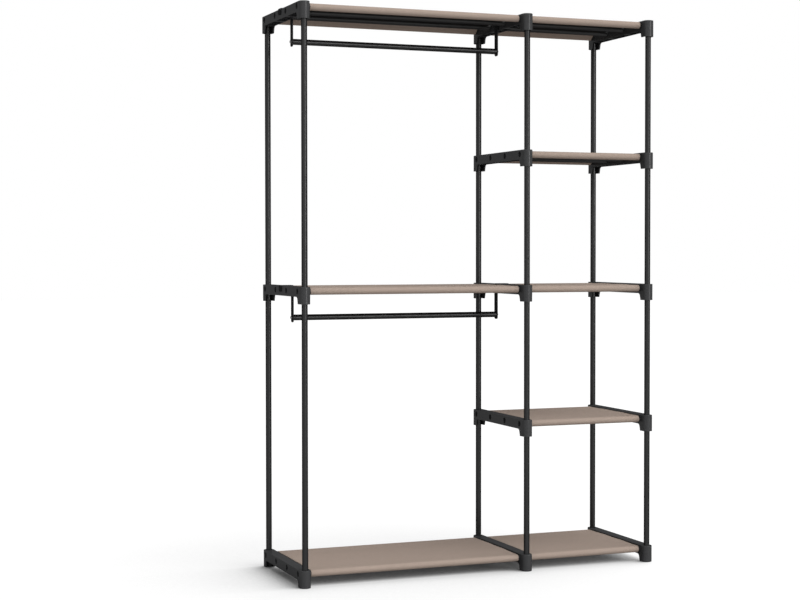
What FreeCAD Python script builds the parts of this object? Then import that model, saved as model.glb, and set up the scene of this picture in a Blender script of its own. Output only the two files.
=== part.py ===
import FreeCAD, Part
import os
from math import atan2, cos, pi, sin

# Free-standing open wardrobe: moulded side brackets, steel tubes, fabric shelves and two hanging rails.
# Millimetres. X runs along the width, the front faces -Y, Z is up and the floor is at Z = 0.
# The origin is in the middle of the footprint, on the floor.

V = FreeCAD.Vector

# Grid of posts and shelves
wide_bay = 755.0          # left to middle post axis
narrow_bay = 444.0        # middle to right post axis
post_depth = 397.0        # front to back post axis
level_pitch = 439.0       # shelf to shelf
levels = 5
wide_levels = (0, 2, 4)   # levels with a shelf in the wide bay

# Tubes
tube_d = 19.0
tube_wall = 0.8
tube_fit = 0.1            # radial clearance of a tube in its socket

# Side bracket
collar_r = 17.3           # outer radius of the collar, and half the width of the bar
collar_h = 54.0
bar_h = 31.5
top_round = 2.0
skirt_wall = 4.0          # wall of the open skirt below the bar
skirt_reach = 16.5        # post axis to the skirt's edge, at its foot
skirt_flare = 6.0         # how far that edge leans inwards on its way up to the bar
arch_fillet = 12.0
post_seat = 16.0          # depth of the socket for the post above
post_web = 4.0            # floor between the upper and the lower socket
bar_wall = 3.0
bar_top = 3.5
rib_t = 2.5

# Cross tubes under a shelf
shelf_tubes = 4
tube_drop = 14.4          # tube axis below the top of the bracket
tube_offset = 21.0        # first tube axis inboard of the post axis
tube_seat = 14.0          # depth of a cross tube's socket
boss_wall = 2.5

# Hanging rails and their hooks
rail_d = 19.0
rail_wall = 0.8
rail_drop = 102.0         # rail axis below the top of the bracket
hook_t = 2.0
hook_w = 25.0
hook_gap = 0.7            # play between the hook's lip and the far face of the bar
leg_gap = 3.3             # near face of the bar to the hook's leg
hook_bend = 1.5           # inner bend radius
hook_lip = 19.0           # length of the short leg on the far face
hook_tail = 15.5          # end of the long leg below the rail axis
hook_round = 8.0          # rounding of the corners at both ends of the hook
plug_flange = 1.5
plug_depth = 16.0
plug_fit = 0.1
screw_d = 5.0
screw_fit = 0.05
screw_depth = 12.0        # length of the screw in the plug
head_d = 10.5
head_h = 5.5
head_round = 2.0

# Fabric shelves
cloth_t = 1.2
cloth_slack = 0.3         # sleeve to tube
cloth_gap = 1.0           # end of the cloth to the hook beside it
seam_reach = 30.0         # tube axis to the sleeve's seam
hem = 9.0                 # width of the sewn hem behind the seam

# Feet
foot_pad = 1.0
foot_inset = 2.3          # edge of the pad inside the collar's wall

# Places worked out from the sizes above
tube_r = tube_d / 2
half_depth = post_depth / 2
bar_z = collar_h - bar_h
socket_r = tube_r + tube_fit
boss_half = socket_r + boss_wall
lower_seat_z = collar_h - post_seat - post_web
tube_z = collar_h - tube_drop
tube_step = (post_depth - 2 * tube_offset) / (shelf_tubes - 1)
tube_y = [-half_depth + tube_offset + i * tube_step for i in range(shelf_tubes)]
lip_in = collar_r + hook_gap
lip_out = lip_in + hook_t
leg_in = collar_r + leg_gap
leg_out = leg_in + hook_t
cloth_end = leg_out + cloth_gap
left_x = -(wide_bay + narrow_bay - lip_out + collar_r) / 2
column_x = {"left": left_x, "middle": left_x + wide_bay, "right": left_x + wide_bay + narrow_bay}
level_z = [foot_pad + i * level_pitch for i in range(levels)]

touch = 0.01              # edges this near a plane lie in it

os.makedirs("parts", exist_ok=True)


def outline(*pieces):
    """Closed face from lines, given as two points, and arcs, given as three."""
    edges = []
    for points in pieces:
        if len(points) == 2:
            edges.append(Part.LineSegment(*points).toShape())
        else:
            edges.append(Part.Arc(*points).toShape())
    return Part.Face(Part.Wire(edges))


def cylinder(radius, length, base, axis):
    return Part.makeCylinder(radius, length, base, axis)


def box(x0, x1, y0, y1, z0, z1):
    return Part.makeBox(x1 - x0, y1 - y0, z1 - z0, V(x0, y0, z0))


def tube(diameter, wall, start, end):
    """Hollow tube from start to end."""
    run = end - start
    outer = cylinder(diameter / 2, run.Length, start, run)
    return outer.cut(cylinder(diameter / 2 - wall, run.Length, start, run))


def edges_at(shape, z):
    """Edges that lie flat at one height."""
    return [e for e in shape.Edges if abs(e.BoundBox.ZMin - z) < touch and abs(e.BoundBox.ZMax - z) < touch]


def save(name, *solids):
    shape = solids[0] if len(solids) == 1 else Part.makeCompound(list(solids))
    shape.exportStep("parts/" + name + ".step")


# Side bracket: one moulding, drawn about its own centre plane with its foot at Z = 0
def bracket_block():
    """Bar and collars in one: a long stadium with a rounded top edge and an arch cut out below the bar."""
    r, y = collar_r, half_depth
    plan = outline(
        (V(r, -y, 0), V(r, y, 0)),
        (V(r, y, 0), V(0, y + r, 0), V(-r, y, 0)),
        (V(-r, y, 0), V(-r, -y, 0)),
        (V(-r, -y, 0), V(0, -y - r, 0), V(r, -y, 0)),
    )
    block = plan.extrude(V(0, 0, collar_h))
    block = block.makeFillet(top_round, edges_at(block, collar_h))

    foot = half_depth - skirt_reach
    lean = skirt_flare / bar_z
    below = foot + lean * collar_h
    above = foot - skirt_flare
    x = 2 * collar_r
    arch = outline(
        (V(-x, -below, -collar_h), V(-x, -above, bar_z)),
        (V(-x, -above, bar_z), V(-x, above, bar_z)),
        (V(-x, above, bar_z), V(-x, below, -collar_h)),
        (V(-x, below, -collar_h), V(-x, -below, -collar_h)),
    ).extrude(V(2 * x, 0, 0))
    crown = [e for e in edges_at(arch, bar_z) if e.BoundBox.XLength > x]
    return block.cut(arch.makeFillet(arch_fillet, crown))


def post_cuts(end, has_post_above):
    """Cuts round one post: the open niche in the skirt and the sockets below and above the web."""
    y = end * half_depth
    r = collar_r - skirt_wall
    reach = y - end * 2 * collar_r
    niche = outline(
        (V(r, reach, 0), V(r, y, 0)),
        (V(r, y, 0), V(0, y + end * r, 0), V(-r, y, 0)),
        (V(-r, y, 0), V(-r, reach, 0)),
        (V(-r, reach, 0), V(r, reach, 0)),
    ).extrude(V(0, 0, bar_z))
    cuts = [niche, cylinder(socket_r, lower_seat_z, V(0, y, 0), V(0, 0, 1))]
    if has_post_above:
        cuts.append(cylinder(socket_r, post_seat, V(0, y, collar_h - post_seat), V(0, 0, 1)))
    return cuts


def bar_pockets():
    """Open pockets under the bar, between the tube bosses, each bay split by one cross rib."""
    half = collar_r - bar_wall
    cuts = []
    for y0, y1 in zip(tube_y, tube_y[1:]):
        start, end = y0 + boss_half, y1 - boss_half
        middle = (start + end) / 2
        for a, b in ((start, middle - rib_t / 2), (middle + rib_t / 2, end)):
            cuts.append(box(-half, half, a, b, bar_z - 1, collar_h - bar_top))
    return cuts


def tube_sockets(side):
    """Row of blind sockets for the cross tubes in one face of the bar."""
    return [cylinder(socket_r, tube_seat, V(side * collar_r, y, tube_z), V(-side, 0, 0)) for y in tube_y]


def bracket(has_post_above):
    """One moulding serves all columns, so both faces have sockets; the top one is closed above."""
    cuts = post_cuts(-1, has_post_above) + post_cuts(1, has_post_above) + bar_pockets()
    return bracket_block().cut(cuts + tube_sockets(-1) + tube_sockets(1))


def place(shape, x, z):
    moved = shape.copy()
    moved.translate(V(x, 0, z))
    return moved


# Upright tubes stand on the web of one bracket and carry the web of the next
def post(x, end, low, high):
    y = end * half_depth
    foot = V(x, y, level_z[low] + collar_h - post_seat)
    head = V(x, y, level_z[high] + lower_seat_z)
    return tube(tube_d, tube_wall, foot, head)


# Cross tubes and cloth of one shelf
def shelf_rods(x0, x1, z):
    start, end = x0 + collar_r - tube_seat, x1 - collar_r + tube_seat
    return [tube(tube_d, tube_wall, V(start, y, z + tube_z), V(end, y, z + tube_z)) for y in tube_y]


def shelf_cloth(x0, x1, z):
    """Taut sheet over the tubes, with a drop-shaped sleeve sewn round the first and the last tube."""
    r = tube_r + cloth_slack
    outer = r + cloth_t
    turn = 2 * atan2(r, seam_reach) - pi / 2
    flat = (outer - (r - cloth_t) * sin(turn)) / cos(turn)
    tip = seam_reach + hem
    x = x0 + cloth_end
    top = z + tube_z

    def at(end, inboard, up):
        return V(x, tube_y[-1 if end > 0 else 0] - end * inboard, top + up)

    def around(end, radius):
        low = at(end, radius * cos(turn), radius * sin(turn))
        return low, at(end, -radius, 0), at(end, 0, radius)

    def loop(end):
        low, side, high = around(end, r)
        return Part.Wire([
            Part.Arc(low, side, high).toShape(),
            Part.LineSegment(high, at(end, seam_reach, r)).toShape(),
            Part.LineSegment(at(end, seam_reach, r), low).toShape(),
        ])

    edges = []
    for end in (-1, 1):
        low, side, high = around(end, outer)
        corners = [low, at(end, flat, r - cloth_t), at(end, tip, r - cloth_t), at(end, tip, r)]
        edges.append(Part.Arc(high, side, low).toShape())
        edges += [Part.LineSegment(a, b).toShape() for a, b in zip(corners, corners[1:])]
    edges.append(Part.LineSegment(at(-1, tip, r), at(1, tip, r)).toShape())
    edges.append(Part.LineSegment(at(-1, 0, outer), at(1, 0, outer)).toShape())
    section = Part.Face([Part.Wire(Part.__sortEdges__(edges)), loop(-1), loop(1)])
    section.validate()
    return section.extrude(V(x1 - x0 - 2 * cloth_end, 0, 0))


# Hanging rail: a tube between two hooks that lie over the bars of the brackets
def hook(x, z, inward):
    """Bent flat strip: short lip on the far face, over the bar, long leg down to the rail."""
    a, b, t = leg_in, leg_out, hook_t
    top, bend = collar_h, hook_bend
    swing = bend + t
    half = hook_w / 2
    c = 1 - cos(pi / 4)
    lip = top - hook_lip
    tail = top - rail_drop - hook_tail

    def p(along, up):
        return V(inward * along, -half, up)

    strip = outline(
        (p(-lip_in, lip), p(-lip_in, top - bend)),
        (p(-lip_in, top - bend), p(-lip_in + c * bend, top - c * bend), p(-lip_in + bend, top)),
        (p(-lip_in + bend, top), p(a - bend, top)),
        (p(a - bend, top), p(a - c * bend, top - c * bend), p(a, top - bend)),
        (p(a, top - bend), p(a, tail)),
        (p(a, tail), p(b, tail)),
        (p(b, tail), p(b, top + t - swing)),
        (p(b, top + t - swing), p(b - c * swing, top + t - c * swing), p(b - swing, top + t)),
        (p(b - swing, top + t), p(-lip_out + swing, top + t)),
        (p(-lip_out + swing, top + t), p(-lip_out + c * swing, top + t - c * swing),
         p(-lip_out, top + t - swing)),
        (p(-lip_out, top + t - swing), p(-lip_out, lip)),
        (p(-lip_out, lip), p(-lip_in, lip)),
    ).extrude(V(0, hook_w, 0))
    corners = []
    for edge in strip.Edges:
        first, last = edge.Vertexes[0].Point, edge.Vertexes[-1].Point
        across = abs(first.y - last.y) < touch and abs(first.z - last.z) < touch
        if across and min(abs(first.z - lip), abs(first.z - tail)) < touch:
            corners.append(edge)
    start = V(inward * (a - t / 2), 0, top - rail_drop)
    hole = cylinder(screw_d / 2 + screw_fit, 2 * t, start, V(inward, 0, 0))
    return place(strip.makeFillet(hook_round, corners).cut(hole), x, z)


def rail_plug(x, z, inward):
    """End plug: flange against the hook, stem in the tube, bore for the screw."""
    start = V(x + inward * leg_out, 0, z + collar_h - rail_drop)
    axis = V(inward, 0, 0)
    flange = cylinder(rail_d / 2, plug_flange, start, axis)
    stem = cylinder(rail_d / 2 - rail_wall - plug_fit, plug_flange + plug_depth, start, axis)
    bore = cylinder(screw_d / 2 + screw_fit, screw_depth, start, axis)
    return flange.fuse(stem).removeSplitter().cut(bore)


def rail_screw(x, z, inward):
    """Pan-head screw through the hook into the plug."""
    axis = V(inward, 0, 0)
    seat = V(x + inward * leg_in, 0, z + collar_h - rail_drop)
    rim = head_h - head_round
    head = cylinder(head_d / 2, rim, seat, -axis)
    crown = Part.makeCone(head_d / 2, head_d / 2 - head_round, head_round, seat - axis * rim, -axis)
    shank = cylinder(screw_d / 2, hook_t + screw_depth, seat, axis)
    return crown.fuse([head, shank]).removeSplitter()


def foot(x, end):
    """Foot plug: pad under the collar, stem up to the web."""
    base = V(x, end * half_depth, 0)
    up = V(0, 0, 1)
    pad = cylinder(collar_r - foot_inset, foot_pad, base, up)
    return pad.fuse(cylinder(tube_r, foot_pad + lower_seat_z, base, up)).removeSplitter()


# Brackets
open_bracket = bracket(True)
top_bracket = bracket(False)
for column, x in column_x.items():
    for level in range(levels):
        if column == "left" and level not in wide_levels:
            continue
        solid = open_bracket if level < levels - 1 else top_bracket
        save("%s_bracket_%d" % (column, level + 1), place(solid, x, level_z[level]))

# Posts
for side, end in (("front", -1), ("back", 1)):
    for low, high in zip(wide_levels, wide_levels[1:]):
        save("left_%s_post_%d" % (side, low + 1), post(column_x["left"], end, low, high))
    for column in ("middle", "right"):
        for low in range(levels - 1):
            save("%s_%s_post_%d" % (column, side, low + 1), post(column_x[column], end, low, low + 1))

# Shelves
for level in range(levels):
    z = level_z[level]
    if level in wide_levels:
        save("wide_shelf_tubes_%d" % (level + 1), *shelf_rods(column_x["left"], column_x["middle"], z))
        save("wide_shelf_cloth_%d" % (level + 1), shelf_cloth(column_x["left"], column_x["middle"], z))
    save("narrow_shelf_tubes_%d" % (level + 1), *shelf_rods(column_x["middle"], column_x["right"], z))
    save("narrow_shelf_cloth_%d" % (level + 1), shelf_cloth(column_x["middle"], column_x["right"], z))

# Hanging rails under the top and the middle shelf of the wide bay
for name, level in (("upper", wide_levels[2]), ("lower", wide_levels[1])):
    z = level_z[level]
    ends = {"left": (column_x["left"], 1), "right": (column_x["middle"], -1)}
    axis_z = z + collar_h - rail_drop
    seats = [x + inward * (leg_out + plug_flange) for x, inward in ends.values()]
    save(name + "_rail_tube", tube(rail_d, rail_wall, V(seats[0], 0, axis_z), V(seats[1], 0, axis_z)))
    for side, (x, inward) in ends.items():
        save("%s_rail_%s_hook" % (name, side), hook(x, z, inward))
    save(name + "_rail_plugs", *[rail_plug(x, z, inward) for x, inward in ends.values()])
    save(name + "_rail_screws", *[rail_screw(x, z, inward) for x, inward in ends.values()])

# Feet
save("foot_plugs", *[foot(x, end) for x in column_x.values() for end in (-1, 1)])
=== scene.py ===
import math

import bmesh
import bpy
from bpy.props import FloatProperty, FloatVectorProperty, IntProperty, PointerProperty
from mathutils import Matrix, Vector, noise


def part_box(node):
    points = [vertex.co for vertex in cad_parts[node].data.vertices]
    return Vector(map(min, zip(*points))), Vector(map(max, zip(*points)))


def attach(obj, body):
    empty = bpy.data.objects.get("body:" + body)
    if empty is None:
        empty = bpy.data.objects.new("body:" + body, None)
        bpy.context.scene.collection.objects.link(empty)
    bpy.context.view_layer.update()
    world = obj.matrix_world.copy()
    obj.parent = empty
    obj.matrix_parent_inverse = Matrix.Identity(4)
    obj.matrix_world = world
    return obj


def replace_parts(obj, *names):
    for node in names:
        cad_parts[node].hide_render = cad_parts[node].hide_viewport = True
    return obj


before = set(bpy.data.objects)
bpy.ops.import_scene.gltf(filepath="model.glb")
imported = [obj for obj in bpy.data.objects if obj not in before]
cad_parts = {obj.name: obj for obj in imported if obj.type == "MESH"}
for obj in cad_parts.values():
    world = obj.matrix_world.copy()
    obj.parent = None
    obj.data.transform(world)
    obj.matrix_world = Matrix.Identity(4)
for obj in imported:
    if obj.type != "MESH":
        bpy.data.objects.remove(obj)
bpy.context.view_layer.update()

bl_info = {
    "name": "Open Frame Wardrobe",
    "version": (1, 0, 0),
    "blender": (4, 5, 0),
    "location": "View3D > Sidebar > Wardrobe",
    "description": "Dresses the open frame wardrobe with shelf covers, screws, finishes and a stage",
    "category": "Object",
}

WIDE_SHELVES = ["wide_shelf_%d" % n for n in (1, 3, 5)]
NARROW_SHELVES = ["narrow_shelf_%d" % n for n in (1, 2, 3, 4, 5)]
RAILS = ["upper_rail", "lower_rail"]
CLOTH_MAP = "cloth_metres"
BLACK = (0.0, 0.0, 0.0, 1.0)
WHITE = (1.0, 1.0, 1.0, 1.0)


# Sizes and colours

class CoverSizes(bpy.types.PropertyGroup):
    """Sizes of the sewn shelf covers"""

    thickness: FloatProperty(
        name="Cloth thickness", description="Thickness of one layer of cloth",
        default=0.0012, min=0.0002, unit="LENGTH")
    slack: FloatProperty(
        name="Sleeve slack", description="Room between a rod and its sleeve",
        default=0.0003, min=0.0, unit="LENGTH")
    seam: FloatProperty(
        name="Sleeve seam", description="Distance of the sleeve's seam from its rod",
        default=0.030, unit="LENGTH")
    turning: FloatProperty(
        name="Seam turning", description="Width of cloth left beyond the sleeve's seam",
        default=0.009, unit="LENGTH")
    end_hem: FloatProperty(
        name="End hem", description="Width of the folded hem at the ends of a cover",
        default=0.010, unit="LENGTH")
    sag: FloatProperty(
        name="Sag", description="How far the cloth dips between two rods",
        default=0.0008, unit="LENGTH")
    stitch_pitch: FloatProperty(
        name="Stitch pitch", description="Distance from one stitch to the next",
        default=0.0042, unit="LENGTH")
    stitch_length: FloatProperty(
        name="Stitch length", description="Length of thread that shows at each stitch",
        default=0.0031, unit="LENGTH")
    thread: FloatProperty(
        name="Thread", description="Thickness of the sewing thread",
        default=0.0006, unit="LENGTH")
    weave: FloatProperty(
        name="Weave pitch", description="Distance from one yarn to the next",
        default=0.0013, unit="LENGTH")


class ScrewSizes(bpy.types.PropertyGroup):
    """Sizes of the rail screws"""

    head_height: FloatProperty(
        name="Head height", description="Height of the screw's head",
        default=0.0055, unit="LENGTH")
    shank: FloatProperty(
        name="Shank", description="Radius of the screw's shank",
        default=0.0024, unit="LENGTH")
    reach: FloatProperty(
        name="Reach", description="Length of the shank below the head",
        default=0.0135, unit="LENGTH")
    slot_width: FloatProperty(
        name="Cross width", description="Width of the arms of the cross recess",
        default=0.0012, unit="LENGTH")
    slot_depth: FloatProperty(
        name="Cross depth", description="Depth of the cross recess",
        default=0.0016, unit="LENGTH")
    sides: IntProperty(
        name="Sides", description="Facets round a screw's head", default=40, min=12)


class Finishes(bpy.types.PropertyGroup):
    """Colours, gloss and grain of the wardrobe's materials"""

    cloth: FloatVectorProperty(
        name="Cloth", description="Colour of the shelf covers", subtype="COLOR", size=3,
        default=(0.292, 0.2335, 0.197))
    thread: FloatVectorProperty(
        name="Thread", description="Colour of the sewing thread", subtype="COLOR", size=3,
        default=(0.235, 0.188, 0.160))
    plastic: FloatVectorProperty(
        name="Bracket plastic", description="Colour of the moulded brackets", subtype="COLOR", size=3,
        default=(0.0320, 0.0324, 0.0335))
    coat: FloatVectorProperty(
        name="Powder coat", description="Colour of the coated posts and rails", subtype="COLOR", size=3,
        default=(0.0088, 0.0088, 0.0091))
    # Painted light: the rods get a lighter copy of the tube coat, so that their shaded undersides under the
    # shelves come out brighter; the real rods carry the same coat as the posts.
    rod: FloatVectorProperty(
        name="Rod coat", description="Colour of the coated rods under the shelves", subtype="COLOR", size=3,
        default=(0.0230, 0.0230, 0.0235))
    hook: FloatVectorProperty(
        name="Hook coat", description="Colour of the coated hooks", subtype="COLOR", size=3,
        default=(0.0170, 0.0170, 0.0175))
    screw: FloatVectorProperty(
        name="Screw steel", description="Colour of the plated screws", subtype="COLOR", size=3,
        default=(0.130, 0.130, 0.130))
    plug: FloatVectorProperty(
        name="Plug plastic", description="Colour of the rail's end plugs", subtype="COLOR", size=3,
        default=(0.018, 0.018, 0.019))
    rubber: FloatVectorProperty(
        name="Foot rubber", description="Colour of the foot plugs", subtype="COLOR", size=3,
        default=(0.022, 0.022, 0.022))
    tube_gloss: FloatProperty(
        name="Tube gloss", description="Strength of the gloss on posts, rods and rails",
        default=0.62, min=0.0, max=1.0, subtype="FACTOR")
    hook_gloss: FloatProperty(
        name="Hook gloss", description="Strength of the gloss on the hooks",
        default=0.15, min=0.0, max=1.0, subtype="FACTOR")
    plastic_gloss: FloatProperty(
        name="Plastic gloss", description="Strength of the gloss on brackets and end plugs",
        default=0.36, min=0.0, max=1.0, subtype="FACTOR")
    bracket_grain: FloatProperty(
        name="Bracket grain", description="Depth of the grain on the brackets",
        default=0.00012, unit="LENGTH")
    plug_grain: FloatProperty(
        name="Plug grain", description="Depth of the grain on the end plugs",
        default=0.00006, unit="LENGTH")


class StageSettings(bpy.types.PropertyGroup):
    """Floor, light and camera"""

    floor: FloatVectorProperty(
        name="Floor", description="Colour of the floor under the lamps", subtype="COLOR", size=3,
        default=(0.20, 0.20, 0.20))
    # The floor's white glow is darkened near the wardrobe by a painted shadow made with an ambient
    # occlusion node.
    floor_white: FloatVectorProperty(
        name="Floor white", description="Even white that lies over the floor where it is looked at",
        subtype="COLOR", size=3, default=(0.84, 0.84, 0.84))
    floor_return: FloatVectorProperty(
        name="Floor return", description="Colour of the light that the floor throws back up",
        subtype="COLOR", size=3, default=(0.42, 0.42, 0.42))
    # Tilt of the ambient occlusion normal that paints the floor's soft shadow to the left; no lamp shines
    # from this way.
    floor_light: FloatVectorProperty(
        name="Floor light", description="Way to the soft light that the wardrobe keeps off the floor",
        subtype="DIRECTION", size=3, default=(0.85, 0.05, 0.52))
    floor_half: FloatProperty(
        name="Floor half width", description="Distance from the middle of the floor to its edges",
        default=30.0, unit="LENGTH")
    # Reach, faint shade and deep shade set the size and darkness of the painted floor shadow.
    floor_reach: FloatProperty(
        name="Floor reach", description="How far from the floor a piece still shades it",
        default=2.0, unit="LENGTH")
    faint_shade: FloatProperty(
        name="Faint shade", description="How fast the floor darkens where little light is shut off",
        default=0.50)
    deep_shade: FloatProperty(
        name="Deep shade", description="How much faster it darkens where most light is shut off",
        default=1.30)
    sky: FloatProperty(
        name="Sky", description="Strength of the even light from all round", default=0.60)
    front: FloatProperty(
        name="Front light", description="Strength of the light in front on the right", default=0.75)
    front_spread: FloatProperty(
        name="Front spread", description="Apparent width of the front light",
        default=math.radians(16), subtype="ANGLE")
    front_turn: FloatProperty(
        name="Front turn", description="Turn of the front light to the right",
        default=math.radians(24), subtype="ANGLE")
    front_rise: FloatProperty(
        name="Front rise", description="Height of the front light above level",
        default=math.radians(3), subtype="ANGLE")
    left: FloatProperty(
        name="Left light", description="Strength of the low light in front on the left", default=0.80)
    left_spread: FloatProperty(
        name="Left spread", description="Apparent width of the left light",
        default=math.radians(120), subtype="ANGLE")
    left_turn: FloatProperty(
        name="Left turn", description="Turn of the left light to the right",
        default=math.radians(-25), subtype="ANGLE")
    left_rise: FloatProperty(
        name="Left rise", description="Height of the left light above level",
        default=math.radians(10), subtype="ANGLE")
    upper: FloatProperty(
        name="Upper light", description="Strength of the light above on the right", default=2.40)
    upper_spread: FloatProperty(
        name="Upper spread", description="Apparent width of the upper light",
        default=math.radians(60), subtype="ANGLE")
    upper_turn: FloatProperty(
        name="Upper turn", description="Turn of the upper light to the right",
        default=math.radians(35), subtype="ANGLE")
    upper_rise: FloatProperty(
        name="Upper rise", description="Height of the upper light above level",
        default=math.radians(44), subtype="ANGLE")
    eye: FloatVectorProperty(
        name="Camera place", description="Where the camera stands", subtype="TRANSLATION", size=3,
        default=(-2.18454, -5.23190, 1.04870))
    heading: FloatProperty(
        name="Heading", description="Turn of the camera from straight ahead to the right",
        default=0.387957, subtype="ANGLE")
    dip: FloatProperty(
        name="Dip", description="Tilt of the camera below level", default=0.0267755, subtype="ANGLE")
    lens: FloatProperty(
        name="Lens", description="Focal length in millimetres on a 36 mm wide sensor", default=76.80)
    shift_x: FloatProperty(name="Shift across", description="Sideways shift of the frame", default=-0.0574)
    shift_y: FloatProperty(name="Shift up", description="Upward shift of the frame", default=-0.0062)


# Shader writing

class Value:
    """A shader socket that can be used in Python expressions"""

    def __init__(self, finish, socket):
        self.finish = finish
        self.socket = socket

    def math(self, operation, *others):
        """Adds a Math node with this value first"""
        return self.finish.calc(operation, self, *others)

    def __add__(self, other):
        return self.finish.calc("ADD", self, other)

    def __radd__(self, other):
        return self.finish.calc("ADD", other, self)

    def __sub__(self, other):
        return self.finish.calc("SUBTRACT", self, other)

    def __rsub__(self, other):
        return self.finish.calc("SUBTRACT", other, self)

    def __mul__(self, other):
        return self.finish.calc("MULTIPLY", self, other)

    def __rmul__(self, other):
        return self.finish.calc("MULTIPLY", other, self)

    def __truediv__(self, other):
        return self.finish.calc("DIVIDE", self, other)

    def __rtruediv__(self, other):
        return self.finish.calc("DIVIDE", other, self)

    def __mod__(self, other):
        return self.finish.calc("FLOORED_MODULO", self, other)

    def __rmod__(self, other):
        return self.finish.calc("FLOORED_MODULO", other, self)

    def __pow__(self, other):
        return self.finish.calc("POWER", self, other)

    def __rpow__(self, other):
        return self.finish.calc("POWER", other, self)


class Finish:
    """A material, or the world, and the nodes that it is written with"""

    def __init__(self, owner):
        owner.use_nodes = True
        self.owner = owner
        self.tree = owner.node_tree
        self.tree.nodes.clear()

    def node(self, kind, settings=(), sockets=(), give=None):
        """Adds a node, sets it up, fills its sockets and gives one of its outputs"""
        made = self.tree.nodes.new(kind)
        for key, value in dict(settings).items():
            setattr(made, key, value)
        for key, value in dict(sockets).items():
            if isinstance(key, int):
                socket = made.inputs[key]
            else:
                socket = next(s for s in made.inputs if s.enabled and s.name == key)
            if isinstance(value, Value):
                self.tree.links.new(value.socket, socket)
            else:
                socket.default_value = value
        outputs = [s for s in made.outputs if s.enabled and give in (None, s.name)]
        return Value(self, outputs[0]) if outputs else None

    def calc(self, operation, *values):
        """Adds a Math node"""
        return self.node("ShaderNodeMath", {"operation": operation}, dict(enumerate(values)))

    def mix(self, factor, first, second):
        """Mixes two colours"""
        return self.node("ShaderNodeMix", {"data_type": "RGBA"},
                         {"Factor": factor, "A": first, "B": second})

    def place(self):
        """Place on the object, in metres"""
        return self.node("ShaderNodeTexCoord", give="Object")

    def stretch(self, vector, by):
        """Multiplies a vector by three numbers"""
        return self.node("ShaderNodeVectorMath", {"operation": "MULTIPLY"}, {0: vector, 1: by})

    def noise(self, vector, scale, detail=2.0, rough=0.5):
        """Soft random values from 0 to 1"""
        return self.node("ShaderNodeTexNoise", {}, {
            "Vector": vector, "Scale": scale, "Detail": detail, "Roughness": rough})

    def between(self, value, low, high):
        """Goes smoothly from 0 to 1 between two values"""
        return self.node("ShaderNodeMapRange", {"interpolation_type": "SMOOTHSTEP"}, {
            "Value": value, "From Min": low, "From Max": high})

    def bump(self, height, strength, distance):
        """Normals of a surface that is uneven by a height"""
        return self.node("ShaderNodeBump", {}, {
            "Strength": strength, "Distance": distance, "Height": height})

    def edges(self, radius):
        """How near a surface point is to a sharp edge, from 0 to 1"""
        rounded = self.node("ShaderNodeBevel", {"samples": 6}, {"Radius": radius})
        flat = self.node("ShaderNodeNewGeometry", give="Normal")
        same = self.node("ShaderNodeVectorMath", {"operation": "DOT_PRODUCT"},
                         {0: rounded, 1: flat}, give="Value")
        return self.between(same, low=0.985, high=0.80)

    def turned_to_eye(self):
        """1 where the surface is looked at squarely, falling to 0 at its rim"""
        return 1.0 - self.node("ShaderNodeLayerWeight", {}, {"Blend": 0.5}, give="Facing")

    def gloss(self, weight, fade):
        """Weight of a clear coat that fades out towards the rim"""
        return weight * self.turned_to_eye() ** fade

    def surface(self, sockets):
        """Ends the material with a Principled shader"""
        shader = self.node("ShaderNodeBsdfPrincipled", {}, sockets)
        self.node("ShaderNodeOutputMaterial", {}, {"Surface": shader})
        return self.owner


def colour(rgb, times=1.0):
    """A colour of four numbers, made lighter or darker"""
    return (rgb[0] * times, rgb[1] * times, rgb[2] * times, 1.0)


def powder_coat(name, rgb, gloss):
    """Black powder coat: fine orange peel, faint scuffs and a soft gloss"""
    finish = Finish(bpy.data.materials.new(name))
    place = finish.place()
    peel = finish.noise(place, scale=1100.0, detail=2.0)
    cloud = finish.noise(place, scale=38.0, detail=3.0)
    streaks = finish.noise(finish.stretch(place, (1.0, 1.0, 0.12)), scale=420.0, detail=3.0, rough=0.7)
    scuff = finish.between(streaks, low=0.64, high=0.80)
    worn = finish.edges(radius=0.0005)
    base = finish.mix(cloud, colour(rgb, 0.82), colour(rgb, 1.18))
    base = finish.mix(0.35 * scuff, base, colour(rgb, 2.2))
    base = finish.mix(0.30 * worn, base, colour(rgb, 3.0))
    return finish.surface({
        "Base Color": base, "Roughness": 0.50 + 0.06 * cloud + 0.08 * scuff,
        "Normal": finish.bump(peel, strength=0.01, distance=0.0001), "Specular IOR Level": 0.0,
        "Coat Weight": finish.gloss(gloss, fade=2.5), "Coat Roughness": 0.26})


def moulded_plastic(name, rgb, gloss, grain):
    """Moulded plastic with a fine spark-eroded grain and edges rubbed paler"""
    finish = Finish(bpy.data.materials.new(name))
    place = finish.place()
    pits = finish.noise(place, scale=1500.0, detail=3.0, rough=0.6)
    flow = finish.noise(finish.stretch(place, (1.0, 0.35, 1.0)), scale=26.0, detail=3.0, rough=0.6)
    patches = finish.between(finish.noise(place, scale=210.0, detail=4.0, rough=0.65), low=0.35, high=0.70)
    wear = finish.edges(radius=0.0016) * patches
    base = finish.mix(flow, colour(rgb, 0.86), colour(rgb, 1.14))
    base = finish.mix(0.10 * pits, base, colour(rgb, 1.8))
    base = finish.mix(0.35 * wear, base, colour(rgb, 2.2))
    return finish.surface({
        "Base Color": base, "Roughness": 0.45 + 0.08 * pits - 0.06 * wear,
        "Normal": finish.bump(pits, strength=0.10, distance=grain), "Specular IOR Level": 0.0,
        "Coat Weight": finish.gloss(gloss, fade=1.1), "Coat Roughness": 0.24})


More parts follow.
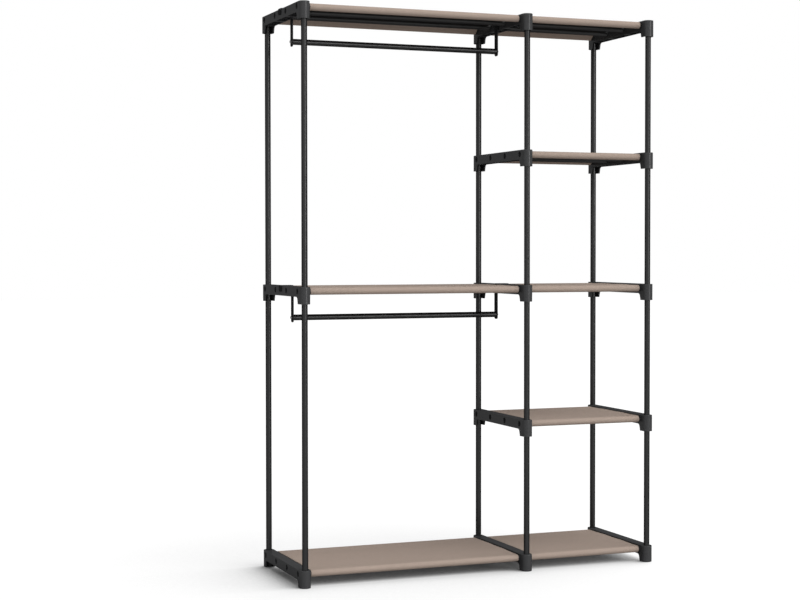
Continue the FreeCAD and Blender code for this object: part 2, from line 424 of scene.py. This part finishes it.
def woven_cloth(name, rgb, pitch):
    """Plain woven cloth with slubs in both yarns, mottling and a faint sheen"""
    finish = Finish(bpy.data.materials.new(name))
    cloth = finish.node("ShaderNodeUVMap", {"uv_map": CLOTH_MAP})
    across = finish.node("ShaderNodeSeparateXYZ", {}, {0: cloth}, give="X") / pitch
    along = finish.node("ShaderNodeSeparateXYZ", {}, {0: cloth}, give="Y") / pitch
    over = (across.math("FLOOR") + along.math("FLOOR")) % 2.0
    warp = (across * math.pi).math("SINE").math("ABSOLUTE")
    weft = (along * math.pi).math("SINE").math("ABSOLUTE")
    height = over * (warp * (0.35 + 0.65 * weft)) + (1.0 - over) * (weft * (0.35 + 0.65 * warp))
    slubs = 28.0
    warp_slub = finish.noise(finish.stretch(cloth, (1.0 / pitch, slubs, 1.0)), scale=1.0, detail=2.0)
    weft_slub = finish.noise(finish.stretch(cloth, (slubs, 1.0 / pitch, 1.0)), scale=1.0, detail=2.0)
    yarn = over * warp_slub + (1.0 - over) * weft_slub
    mottle = finish.noise(cloth, scale=55.0, detail=4.0, rough=0.6)
    base = finish.mix(finish.between(yarn, low=0.25, high=0.75), colour(rgb, 0.94), colour(rgb, 1.06))
    # Painted shade: the colour darkens in the low hollows of the weave, where shade falls between the
    # yarns.
    base = finish.mix(finish.between(height, low=0.0, high=0.5), colour(rgb, 0.84), base)
    base = finish.mix(0.30 * finish.between(mottle, low=0.35, high=0.7), base, colour(rgb, 1.08))
    return finish.surface({
        "Base Color": base, "Roughness": 0.78 + 0.14 * mottle,
        "Normal": finish.bump(height + 0.3 * yarn, strength=0.18, distance=0.0003),
        "Specular IOR Level": 0.01, "Sheen Weight": 0.005, "Sheen Roughness": 0.5})


def sewing_thread(name, rgb):
    """Twisted sewing thread"""
    finish = Finish(bpy.data.materials.new(name))
    twist = finish.node("ShaderNodeTexWave", {"bands_direction": "DIAGONAL"}, {
        "Vector": finish.place(), "Scale": 900.0, "Distortion": 1.5, "Detail": 1.0}, give="Fac")
    # Painted shade and painted highlight: the colour darkens in the grooves of the twist and lightens on
    # its ridges, following its bump.
    return finish.surface({
        "Base Color": finish.mix(twist, colour(rgb, 0.75), colour(rgb, 1.2)),
        "Roughness": 0.62 + 0.15 * twist, "Normal": finish.bump(twist, strength=0.4, distance=0.0001),
        "Specular IOR Level": 0.3})


def plated_steel(name, rgb):
    """Dark plated screw steel, turned on a lathe and rubbed bright at the edges"""
    finish = Finish(bpy.data.materials.new(name))
    rings = finish.stretch(finish.place(), (9.0, 1.0, 1.0))
    turned = finish.noise(rings, scale=900.0, detail=3.0, rough=0.6)
    bright = finish.edges(radius=0.0005)
    base = finish.mix(turned, colour(rgb, 0.7), colour(rgb, 1.3))
    base = finish.mix(0.4 * bright, base, colour(rgb, 2.4))
    return finish.surface({
        "Base Color": base, "Roughness": 0.32 + 0.15 * turned, "Metallic": 1.0,
        "Normal": finish.bump(turned, strength=0.25, distance=0.00008)})


def foot_rubber(name, rgb):
    """Soft rubber with dust in its pores"""
    finish = Finish(bpy.data.materials.new(name))
    place = finish.place()
    pores = finish.noise(place, scale=800.0, detail=4.0, rough=0.7)
    dust = finish.between(finish.noise(place, scale=90.0, detail=3.0), low=0.45, high=0.75)
    return finish.surface({
        "Base Color": finish.mix(0.4 * dust, colour(rgb), colour(rgb, 2.4)),
        "Roughness": 0.75 + 0.15 * pores, "Normal": finish.bump(pores, strength=0.5, distance=0.0002),
        "Specular IOR Level": 0.25})


# Shapes

def dress(nodes, material):
    """Gives CAD nodes a finish"""
    for name in nodes:
        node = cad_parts[name]
        if not node.material_slots:
            raise RuntimeError("no material slot on " + name)
        for slot in node.material_slots:
            slot.material = material


def nodes_with(*words):
    """Names of the CAD nodes that hold one of the words"""
    found = sorted(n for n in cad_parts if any(w in n for w in words))
    if not found:
        raise RuntimeError("no CAD node has any of " + ", ".join(words))
    return found


def piece(name, mesh, material, body):
    """Adds a mesh to the scene as a piece of the wardrobe"""
    made = bpy.data.objects.new(name, mesh)
    bpy.context.scene.collection.objects.link(made)
    mesh.materials.append(material)
    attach(made, body)
    return made


def ease(part):
    """Goes smoothly from 0 to 1"""
    return part * part * (3.0 - 2.0 * part)


class Cover:
    """The sewn cloth of one shelf: a taut sheet with a sleeve round its first and last rod"""

    # Room that one layer takes up on another, as a share of its thickness
    stacked = 1.04
    # Way past an end hem in which the cloth comes down, step at its edge, share of the sag that it takes
    hem_fade, hem_step, hem_hold = 0.016, 0.0008, 0.35
    # Columns of the mesh on an end hem, and their distance elsewhere
    hem_columns, column_pitch = 3, 0.012
    # Points of the mesh along a seam's turning, from seam to sleeve, round the sleeve and over the sheet
    turning_points, seam_points, sleeve_points, sheet_points = 3, 6, 26, 48
    # Unevenness of the sheet and of its ends, with their waves to the metre
    sheet_wave, waves_along, waves_across = 0.0004, 9.0, 14.0
    end_wave, end_waves = 0.0005, 30.0
    # Distance of the stitches from a sleeve's seam, a hem's edge, the ends of a row and a bare rod
    seam_inset, hem_inset, row_inset, rod_room = 0.0025, 0.002, 0.003, 0.008
    # Height of a stitch in threads, half its flat part in lengths, and how deep it sinks in heights
    stitch_rise, stitch_flat, stitch_sink = 0.6, 0.27, 0.2

    def __init__(self, shelf, sizes):
        self.sizes = sizes
        low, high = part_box(shelf.replace("shelf_", "shelf_tubes_"))
        self.radius = (high.z - low.z) / 2
        self.rod_z = (high.z + low.z) / 2
        first, last = low.y + self.radius, high.y - self.radius
        self.rods = [first + (last - first) * i / 3 for i in range(4)]
        low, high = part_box(shelf.replace("shelf_", "shelf_cloth_"))
        self.ends = low.x, high.x
        # A different unevenness for each shelf, from its place
        self.seed = 13.0 * low.x + 7.0 * low.z
        self.sleeve = self.radius + sizes.slack + sizes.thickness / 2
        self.half = last

    def hem_at(self, x):
        """1 on the end hems, falling to 0 a little further in"""
        inside = min(x - self.ends[0], self.ends[1] - x) - self.sizes.end_hem
        return 1.0 - ease(min(max(inside / self.hem_fade, 0.0), 1.0))

    def height(self, x, y):
        """Height of the sheet's middle at a place on the shelf"""
        layer = self.sizes.thickness
        over_rod = self.radius + self.stacked / 2 * layer + self.stacked * layer * self.hem_at(x)
        held = [self.sleeve, over_rod, over_rod, self.sleeve]
        y = min(max(y, self.rods[0]), self.rods[-1])
        span = min(int((y - self.rods[0]) / (self.rods[1] - self.rods[0])), len(self.rods) - 2)
        part = (y - self.rods[span]) / (self.rods[span + 1] - self.rods[span])
        level = held[span] + (held[span + 1] - held[span]) * ease(part)
        belly = math.sin(math.pi * part) ** 2
        wave = noise.noise(Vector((x * self.waves_along, y * self.waves_across, self.seed)))
        dip = self.sizes.sag * (1.0 - self.hem_hold * self.hem_at(x)) + self.sheet_wave * wave
        return self.rod_z + level - dip * belly

    def profile(self):
        """Points across the shelf, from front turning to back turning

        Each is the place across, the height, or None on the sheet, and how far it lies below the sheet.
        """
        s = self.sizes
        front = self.rods[0]
        under = self.stacked * s.thickness
        drop = self.sleeve - under
        start = math.atan2(drop, s.seam) - math.acos(self.sleeve / math.hypot(s.seam, drop))
        turn = start + 1.5 * math.pi

        def on_sleeve(angle):
            return front + self.sleeve * math.cos(angle), self.rod_z + self.sleeve * math.sin(angle)

        seam, touch = Vector((front + s.seam, self.rod_z + drop)), Vector(on_sleeve(start))
        half = [(front + s.seam + s.turning * i / self.turning_points, None, under)
                for i in range(self.turning_points, 0, -1)]
        half += [(*seam.lerp(touch, i / self.seam_points), 0.0) for i in range(self.seam_points)]
        half += [(*on_sleeve(start - turn * i / self.sleeve_points), 0.0)
                 for i in range(self.sleeve_points)]
        sheet = [(front - 2 * front * i / self.sheet_points, None, 0.0)
                 for i in range(self.sheet_points + 1)]
        return half + sheet + [(-y, z, below) for y, z, below in reversed(half)]

    def columns(self):
        """Places of the mesh's columns from end to end"""
        left, right = self.ends
        hem = self.sizes.end_hem
        low, high = left + hem + self.hem_step, right - hem - self.hem_step
        count = max(round((high - low) / self.column_pitch), 4)
        middle = [low + (high - low) * i / count for i in range(count + 1)]
        return [left, left + hem / 2, left + hem] + middle + [right - hem, right - hem / 2, right]

    def skin_faces(self, columns, across):
        """Faces of a closed skin: both sides, then its rims at the ends and at the turnings"""
        total = columns * across
        faces = []
        for i in range(columns - 1):
            for j in range(across - 1):
                a, b = i * across + j, (i + 1) * across + j
                faces.append((a, b, b + 1, a + 1))
                faces.append((total + a, total + a + 1, total + b + 1, total + b))
        for j in range(across - 1):
            a, b = j, total - across + j
            faces.append((a, a + 1, total + a + 1, total + a))
            faces.append((b + 1, b, total + b, total + b + 1))
        for i in range(columns - 1):
            a, b = i * across, (i + 1) * across
            faces.append((b, a, total + a, total + b))
            a, b = a + across - 1, b + across - 1
            faces.append((a, b, total + b, total + a))
        return faces

    def mesh(self, name):
        """The cover as a closed skin, with the place on the flat cloth as its map"""
        s = self.sizes
        left, right = self.ends
        columns, profile = self.columns(), self.profile()
        sewn = self.turning_points + self.seam_points + self.sleeve_points
        outer_skin, inner_skin, flat = [], [], []
        for i, x in enumerate(columns):
            line = [Vector((x, y, self.height(x, y) - below if z is None else z))
                    for y, z, below in profile]
            in_hem = i < self.hem_columns or i >= len(columns) - self.hem_columns
            edge = self.end_wave * noise.noise(Vector((self.seed, x, 0.3)))
            run = 0.0
            for j, point in enumerate(line):
                before, after = line[max(j - 1, 0)], line[min(j + 1, len(line) - 1)]
                ahead = (after - before).normalized()
                out = Vector((0.0, -ahead.z, ahead.y))
                run += (point - before).length
                on_sheet = sewn < j < len(line) - sewn - 1 and abs(point.y) < self.half - s.seam
                doubled = self.stacked * s.thickness if in_hem and on_sheet else 0.0
                shift = Vector((0.0, 0.0, 0.0))
                if x in (left, right):
                    uneven = noise.noise(Vector((point.y * self.end_waves, self.seed, x)))
                    shift.x = (1.0 if x == left else -1.0) * abs(edge + self.end_wave * uneven)
                outer_skin.append(point + shift + out * 0.5 * s.thickness)
                inner_skin.append(point + shift - out * (0.5 * s.thickness + doubled))
                flat.append((x - left, run))
        across, total = len(profile), len(outer_skin)
        mesh = bpy.data.meshes.new(name)
        mesh.from_pydata(outer_skin + inner_skin, [], self.skin_faces(len(columns), across))
        cloth = mesh.uv_layers.new(name=CLOTH_MAP)
        for loop in mesh.loops:
            cloth.data[loop.index].uv = flat[loop.vertex_index % total]
        mesh.polygons.foreach_set("use_smooth", [True] * len(mesh.polygons))
        mesh.set_sharp_from_angle(angle=math.radians(48))
        mesh.update()
        self.flat = right - left + 2 * s.end_hem, flat[across - 1][1]
        return mesh

    def stitch_places(self):
        """Place, heading and upper or lower side of each stitch on both sleeve seams and both end hems"""
        s = self.sizes
        left, right = self.ends
        skin = 0.5 * s.thickness
        under = self.stacked * s.thickness
        places = []
        count = int((right - left - 2 * self.row_inset) / s.stitch_pitch)
        first = (left + right - count * s.stitch_pitch) / 2
        ahead = Vector((1, 0, 0))
        for sign in (-1, 1):
            y = sign * (self.half - s.seam - self.seam_inset)
            for i in range(count):
                x = first + (i + 0.5) * s.stitch_pitch
                z = self.height(x, y)
                places.append((Vector((x, y, z + skin)), ahead, 1))
                places.append((Vector((x, y, z - under - skin)), ahead, -1))
        reach = self.half - s.seam - s.turning - self.row_inset
        count = int(2 * reach / s.stitch_pitch)
        step = 0.001
        for end, sign in ((left, 1), (right, -1)):
            x = end + sign * (s.end_hem - self.hem_inset)
            for i in range(count):
                y = (i + 0.5 - count / 2) * s.stitch_pitch
                z = self.height(x, y)
                climb = self.height(x, y + step) - self.height(x, y - step)
                ahead = Vector((0, 2 * step, climb)).normalized()
                places.append((Vector((x, y, z + skin)), ahead, 1))
                if min(abs(y - rod) for rod in self.rods[1:-1]) > self.rod_room:
                    places.append((Vector((x, y, z - under - skin)), ahead, -1))
        return places

    def stitches(self, name):
        """The stitches as short humps of thread"""
        s = self.sizes
        hump = [(0, 1, 2), (0, 2, 3), (0, 3, 1), (1, 4, 5, 2), (2, 5, 6, 3), (3, 6, 4, 1),
                (7, 5, 4), (7, 6, 5), (7, 4, 6)]
        points, faces = [], []
        for at, ahead, up in self.stitch_places():
            side = ahead.cross(Vector((0, 0, 1))).normalized() * s.thread / 2
            rise = Vector((0, 0, up * s.thread * self.stitch_rise))
            far, near = ahead * s.stitch_length / 2, ahead * s.stitch_length * self.stitch_flat
            sink = rise * -self.stitch_sink
            n = len(points)
            points += [at - far + sink, at - near - side + sink, at - near + rise, at - near + side + sink,
                       at + near - side + sink, at + near + rise, at + near + side + sink, at + far + sink]
            faces += [tuple(n + k for k in (face if up > 0 else face[::-1])) for face in hump]
        mesh = bpy.data.meshes.new(name)
        mesh.from_pydata(points, [], faces)
        mesh.update()
        return mesh


def pan_screw(skin, tip, inward, head_radius, sizes):
    """A pan-head screw with a cross recess; tip is the top of its head and inward the way it is driven"""
    # Shares of the head's radius and height, of the shank's radius, and of the recess
    flat_top, round_depth, rim_depth, rim_radius = 0.56, 0.62, 0.95, 0.97
    neck, root, point = 1.05, 0.76, 0.25
    arm_share, taper = 0.50, 0.62
    # Bare shank above the thread, bare shank above and below it, turns of the thread, steps of the round
    thread_start, thread_room, turns, round_steps = 0.0012, 0.0035, 9, 6
    side = Vector((0, 1, 0))
    other = inward.cross(side)

    def ring(radius, depth):
        angles = [2 * math.pi * i / sizes.sides for i in range(sizes.sides)]
        return [skin.verts.new(tip + inward * depth + radius * (side * math.cos(a) + other * math.sin(a)))
                for a in angles]

    def loop(items):
        return list(zip(items, items[1:] + items[:1]))

    rings = [ring(head_radius * flat_top, 0.0)]
    for i in range(1, round_steps + 1):
        turn = 0.5 * math.pi * i / round_steps
        rings.append(ring(head_radius * (flat_top + (1.0 - flat_top) * math.sin(turn)),
                          sizes.head_height * round_depth * (1 - math.cos(turn))))
    rings.append(ring(head_radius, sizes.head_height * rim_depth))
    rings.append(ring(head_radius * rim_radius, sizes.head_height))
    rings.append(ring(sizes.shank * neck, sizes.head_height))
    for i in range(2 * turns):
        along = (sizes.reach - thread_room) * i / (2 * turns - 1)
        rings.append(ring(sizes.shank * (1.0 if i % 2 else root), sizes.head_height + thread_start + along))
    rings.append(ring(sizes.shank * point, sizes.head_height + sizes.reach))
    for upper, lower in zip(rings, rings[1:]):
        for (a, b), (c, d) in zip(loop(upper), loop(lower)):
            skin.faces.new((a, b, d, c)).smooth = True
    skin.faces.new(rings[-1])
    arm, wide = head_radius * arm_share, sizes.slot_width / 2
    outline = []
    for quarter in range(4):
        a = 0.5 * math.pi * quarter
        ahead = side * math.cos(a) + other * math.sin(a)
        across = side * -math.sin(a) + other * math.cos(a)
        outline += [ahead * arm - across * wide, ahead * arm + across * wide, ahead * wide + across * wide]
    rim = [skin.verts.new(tip + p) for p in outline]
    floor = [skin.verts.new(tip + inward * sizes.slot_depth + p * taper) for p in outline]
    rim_edges = [skin.edges.new(pair) for pair in loop(rim)]
    top_edges = [skin.edges.get(pair) for pair in loop(rings[0])]
    bmesh.ops.triangle_fill(skin, edges=rim_edges + top_edges, use_beauty=True)
    for (a, b), (c, d) in zip(loop(rim), loop(floor)):
        skin.faces.new((a, b, d, c))
    skin.faces.new(floor)


# Operators

class WARDROBE_OT_tubes(bpy.types.Operator):
    """Coats the upright tubes, the shelf rods and the two rails"""

    bl_idname = "wardrobe.tubes"
    bl_label = "Tubes"

    def execute(self, context):
        finishes = context.scene.wardrobe_finishes
        dress(nodes_with("_post_", "rail_tube"),
              powder_coat("tube coat", finishes.coat, finishes.tube_gloss))
        # Painted light: a lighter copy of the tube coat on the shelf rods brightens their shaded
        # undersides.
        dress(nodes_with("_tubes_"), powder_coat("rod coat", finishes.rod, finishes.tube_gloss))
        return {"FINISHED"}


class WARDROBE_OT_brackets(bpy.types.Operator):
    """Gives the moulded side brackets their plastic"""

    bl_idname = "wardrobe.brackets"
    bl_label = "Side brackets"

    def execute(self, context):
        finishes = context.scene.wardrobe_finishes
        plastic = moulded_plastic("bracket plastic", finishes.plastic, finishes.plastic_gloss,
                                  finishes.bracket_grain)
        dress(nodes_with("_bracket_"), plastic)
        return {"FINISHED"}


class WARDROBE_OT_covers(bpy.types.Operator):
    """Sews the shelf covers round their rods"""

    bl_idname = "wardrobe.covers"
    bl_label = "Shelf covers"

    def execute(self, context):
        sizes = context.scene.wardrobe_covers
        finishes = context.scene.wardrobe_finishes
        cloth = woven_cloth("shelf cloth", finishes.cloth, sizes.weave)
        thread = sewing_thread("sewing thread", finishes.thread)
        for shelf in WIDE_SHELVES + NARROW_SHELVES:
            cover = Cover(shelf, sizes)
            sheet = piece(shelf + "_cover", cover.mesh(shelf + "_cover"), cloth, "frame")
            rows = piece(shelf + "_stitching", cover.stitches(shelf + "_stitching"), thread,
                         "frame")
            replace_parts(sheet, shelf.replace("shelf_", "shelf_cloth_"))
        return {"FINISHED"}


class WARDROBE_OT_rail_fittings(bpy.types.Operator):
    """Finishes the hooks and plugs of the rails and drives their screws"""

    bl_idname = "wardrobe.rail_fittings"
    bl_label = "Rail fittings"

    def execute(self, context):
        sizes = context.scene.wardrobe_screws
        finishes = context.scene.wardrobe_finishes
        dress(nodes_with("_hook"), powder_coat("hook coat", finishes.hook, finishes.hook_gloss))
        plastic = moulded_plastic("plug plastic", finishes.plug, finishes.plastic_gloss,
                                  finishes.plug_grain)
        dress(nodes_with("_rail_plugs"), plastic)
        steel = plated_steel("screw steel", finishes.screw)
        for rail in RAILS:
            low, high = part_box(rail + "_screws")
            height = (low.z + high.z) / 2
            skin = bmesh.new()
            for x, inward in ((low.x, 1), (high.x, -1)):
                pan_screw(skin, Vector((x, 0, height)), Vector((inward, 0, 0)), high.y, sizes)
            bmesh.ops.recalc_face_normals(skin, faces=skin.faces)
            mesh = bpy.data.meshes.new(rail + "_pan_screws")
            skin.to_mesh(mesh)
            skin.free()
            mesh.set_sharp_from_angle(angle=math.radians(40))
            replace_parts(piece(rail + "_pan_screws", mesh, steel, rail), rail + "_screws")
        return {"FINISHED"}


class WARDROBE_OT_feet(bpy.types.Operator):
    """Gives the foot plugs their rubber"""

    bl_idname = "wardrobe.feet"
    bl_label = "Foot plugs"

    def execute(self, context):
        dress(["foot_plugs"], foot_rubber("foot rubber", context.scene.wardrobe_finishes.rubber))
        return {"FINISHED"}


def lamp(name, strength, spread, turn, rise):
    """A wide soft light, to the right of straight in front by turn and above level by rise"""
    light = bpy.data.lights.new(name, "SUN")
    light.energy, light.angle = strength, spread
    made = bpy.data.objects.new(name, light)
    toward = Vector((math.sin(turn) * math.cos(rise), -math.cos(turn) * math.cos(rise), math.sin(rise)))
    distance = 6.0
    made.location = toward * distance
    made.rotation_euler = toward.to_track_quat("Z", "Y").to_euler()
    bpy.context.scene.collection.objects.link(made)


def seen(finish):
    """1 where a surface is looked at, straight or by way of a reflection or a see-through piece"""
    camera = finish.node("ShaderNodeLightPath", give="Is Camera Ray")
    mirrored = finish.node("ShaderNodeLightPath", give="Is Glossy Ray")
    through = finish.node("ShaderNodeLightPath", give="Is Transmission Ray")
    return camera.math("MAXIMUM", mirrored).math("MAXIMUM", through)


class WARDROBE_OT_stage(bpy.types.Operator):
    """Sets up the floor, the light and the camera"""

    bl_idname = "wardrobe.stage"
    bl_label = "Stage"

    def execute(self, context):
        scene = context.scene
        stage = scene.wardrobe_stage
        scene.view_settings.view_transform = "Standard"
        self.floor(scene, stage)
        self.sky(scene, stage)
        lamp("front light", stage.front, stage.front_spread, stage.front_turn, stage.front_rise)
        lamp("left light", stage.left, stage.left_spread, stage.left_turn, stage.left_rise)
        lamp("upper light", stage.upper, stage.upper_spread, stage.upper_turn, stage.upper_rise)
        self.camera(scene, stage)
        return {"FINISHED"}

    def camera(self, scene, stage):
        """The camera that took the photograph"""
        eye = bpy.data.cameras.new("camera")
        eye.sensor_fit, eye.sensor_width, eye.lens = "HORIZONTAL", 36.0, stage.lens
        eye.shift_x, eye.shift_y = stage.shift_x, stage.shift_y
        eye.clip_end = 200.0
        made = bpy.data.objects.new("camera", eye)
        made.location = stage.eye
        made.rotation_euler = (math.pi / 2 - stage.dip, 0.0, -stage.heading)
        scene.collection.objects.link(made)
        scene.camera = made

    def floor(self, scene, stage):
        """A plain pale floor: a dark base that keeps the lamps' real shadow, under an even white glow seen
        by camera and reflections that an ambient occlusion node darkens with a painted shadow near the
        wardrobe
        """
        grid = bmesh.new()
        bmesh.ops.create_grid(grid, x_segments=8, y_segments=8, size=stage.floor_half)
        mesh = bpy.data.meshes.new("floor")
        grid.to_mesh(mesh)
        grid.free()
        made = bpy.data.objects.new("floor", mesh)
        scene.collection.objects.link(made)
        finish = Finish(bpy.data.materials.new("floor paint"))
        looked_at = seen(finish)
        # Painted shadow: ambient occlusion with its normal tilted to the right darkens the white glow near
        # the wardrobe, most of all under the bottom shelves, as a soft shadow cast to the left would.
        painted_shadow_axis = dict(zip("XYZ", Vector(stage.floor_light).normalized()))
        toward = finish.node("ShaderNodeCombineXYZ", {}, painted_shadow_axis)
        shut = 1.0 - finish.node("ShaderNodeAmbientOcclusion", {"samples": 16},
                                 {"Distance": stage.floor_reach, "Normal": toward}, give="AO")
        shade = shut * (stage.faint_shade + stage.deep_shade * shut)
        painted_shadow_keep = (1.0 - shade).math("MAXIMUM", 0.0)
        shown = finish.mix(looked_at, colour(stage.floor_return), colour(stage.floor))
        glow = finish.mix(looked_at * painted_shadow_keep, BLACK, colour(stage.floor_white))
        finish.surface({"Base Color": shown, "Roughness": 1.0, "Specular IOR Level": 0.0,
                        "Emission Color": glow, "Emission Strength": 1.0})
        mesh.materials.append(finish.owner)

    def sky(self, scene, stage):
        """Even light all round, which the camera sees as white"""
        world = bpy.data.worlds.new("studio")
        scene.world = world
        finish = Finish(world)
        white = seen(finish)
        light = finish.node("ShaderNodeBackground", {}, {
            "Color": WHITE, "Strength": white + (1.0 - white) * stage.sky})
        finish.node("ShaderNodeOutputWorld", {}, {"Surface": light})


class WARDROBE_PT_panel(bpy.types.Panel):
    """Lists the wardrobe's operators"""

    bl_idname = "WARDROBE_PT_panel"
    bl_label = "Open Frame Wardrobe"
    bl_space_type = "VIEW_3D"
    bl_region_type = "UI"
    bl_category = "Wardrobe"

    def draw(self, context):
        for step in STEPS:
            self.layout.operator(step.bl_idname)


STEPS = (WARDROBE_OT_tubes, WARDROBE_OT_brackets, WARDROBE_OT_covers, WARDROBE_OT_rail_fittings,
         WARDROBE_OT_feet, WARDROBE_OT_stage)
GROUPS = {"wardrobe_covers": CoverSizes, "wardrobe_screws": ScrewSizes,
          "wardrobe_finishes": Finishes, "wardrobe_stage": StageSettings}


def register():
    for group in GROUPS.values():
        bpy.utils.register_class(group)
    for name, group in GROUPS.items():
        setattr(bpy.types.Scene, name, PointerProperty(type=group))
    for step in STEPS + (WARDROBE_PT_panel,):
        bpy.utils.register_class(step)


def unregister():
    for step in reversed(STEPS + (WARDROBE_PT_panel,)):
        bpy.utils.unregister_class(step)
    for name, group in GROUPS.items():
        delattr(bpy.types.Scene, name)
        bpy.utils.unregister_class(group)


def main():
    register()
    bpy.ops.wardrobe.tubes()
    bpy.ops.wardrobe.brackets()
    bpy.ops.wardrobe.covers()
    bpy.ops.wardrobe.rail_fittings()
    bpy.ops.wardrobe.feet()
    bpy.ops.wardrobe.stage()


if __name__ == "__main__":
    main()
